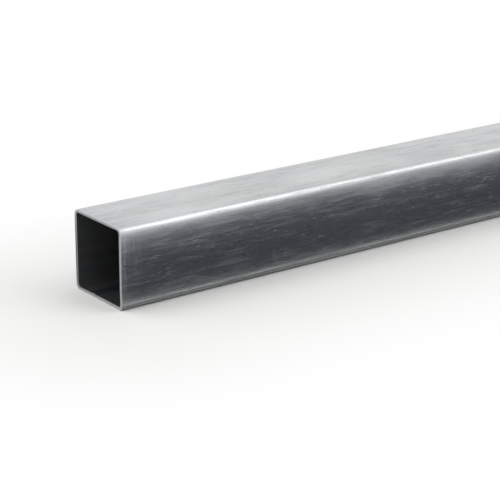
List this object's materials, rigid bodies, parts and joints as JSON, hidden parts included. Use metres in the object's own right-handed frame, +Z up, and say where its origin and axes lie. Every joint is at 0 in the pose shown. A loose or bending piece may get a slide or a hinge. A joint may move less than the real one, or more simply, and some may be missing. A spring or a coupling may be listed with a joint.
{
  "type": "square metal tube",
  "caption": "Straight length of welded square steel tube with rolled corners, open at both sawn ends.",
  "frame": {"origin": "on the floor, under the middle of the tube", "axes": "+Y along the tube, +Z up, +X across it"},
  "size_m": [0.05, 1, 0.05],
  "materials": {
    "mill_steel": "bright mill finish, rolled, with fine lines along the length"
  },
  "bodies": {
    "root": {"square_tube": "mill_steel"}
  },
  "joints": []
}
